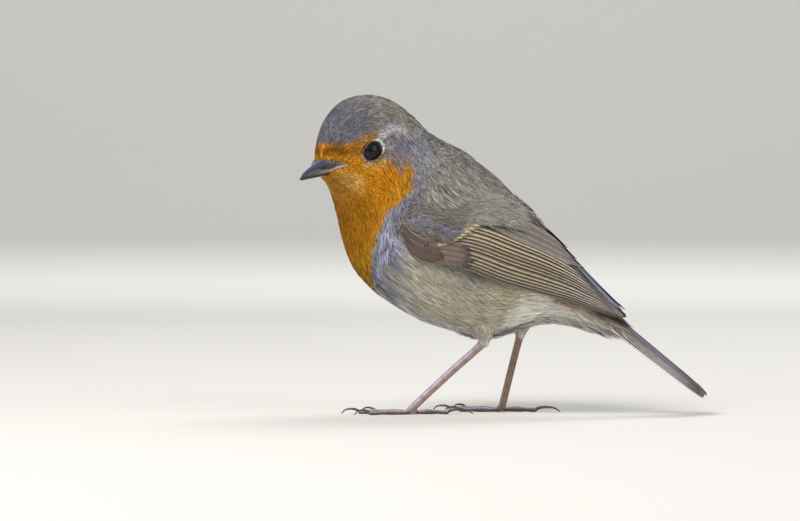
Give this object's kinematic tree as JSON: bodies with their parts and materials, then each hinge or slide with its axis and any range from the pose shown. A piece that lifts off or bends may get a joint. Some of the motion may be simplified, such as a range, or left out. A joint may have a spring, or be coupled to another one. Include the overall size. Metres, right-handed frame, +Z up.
{
  "type": "european robin",
  "caption": "Life-size still model of a European robin standing on both feet, head turned to its left, wings folded and tail lowered.",
  "frame": {"origin": "middle of the length and of the width, on the floor that the feet stand on", "axes": "+X from bill to tail, +Z up; the bird faces -X and its left side is towards -Y"},
  "size_m": [0.1054, 0.0424, 0.0848],
  "materials": {
    "face_feathers": "soft matt plumage, orange on face, throat and breast",
    "body_feathers": "soft matt plumage, olive-brown above, blue-grey at the sides of the neck, buff white below",
    "flight_feathers": "firm satin vanes, brown with pale olive-buff edges",
    "bill_horn": "polished dark horn, browner at the cutting edges",
    "eye_gloss": "wet gloss, near black",
    "leg_scales": "thin smooth scales, pinkish brown with a low sheen",
    "claw_horn": "dark translucent horn"
  },
  "bodies": {
    "root": {"head": "face_feathers", "neck": "body_feathers", "trunk": "body_feathers", "tail": "flight_feathers", "bill_upper": "bill_horn", "bill_lower": "bill_horn", "eye_left": "eye_gloss", "eye_right": "eye_gloss", "wing_left_coverts": "flight_feathers", "wing_left_secondaries": "flight_feathers", "wing_left_primaries": "flight_feathers", "thigh_left": "body_feathers", "tarsus_left": "leg_scales", "toe_left_inner": "leg_scales", "claw_left_inner": "claw_horn", "toe_left_middle": "leg_scales", "claw_left_middle": "claw_horn", "toe_left_outer": "leg_scales", "claw_left_outer": "claw_horn", "toe_left_hind": "leg_scales", "claw_left_hind": "claw_horn", "wing_right_coverts": "flight_feathers", "wing_right_secondaries": "flight_feathers", "wing_right_primaries": "flight_feathers", "thigh_right": "body_feathers", "tarsus_right": "leg_scales", "toe_right_inner": "leg_scales", "claw_right_inner": "claw_horn", "toe_right_middle": "leg_scales", "claw_right_middle": "claw_horn", "toe_right_outer": "leg_scales", "claw_right_outer": "claw_horn", "toe_right_hind": "leg_scales", "claw_right_hind": "claw_horn"}
  },
  "joints": []
}
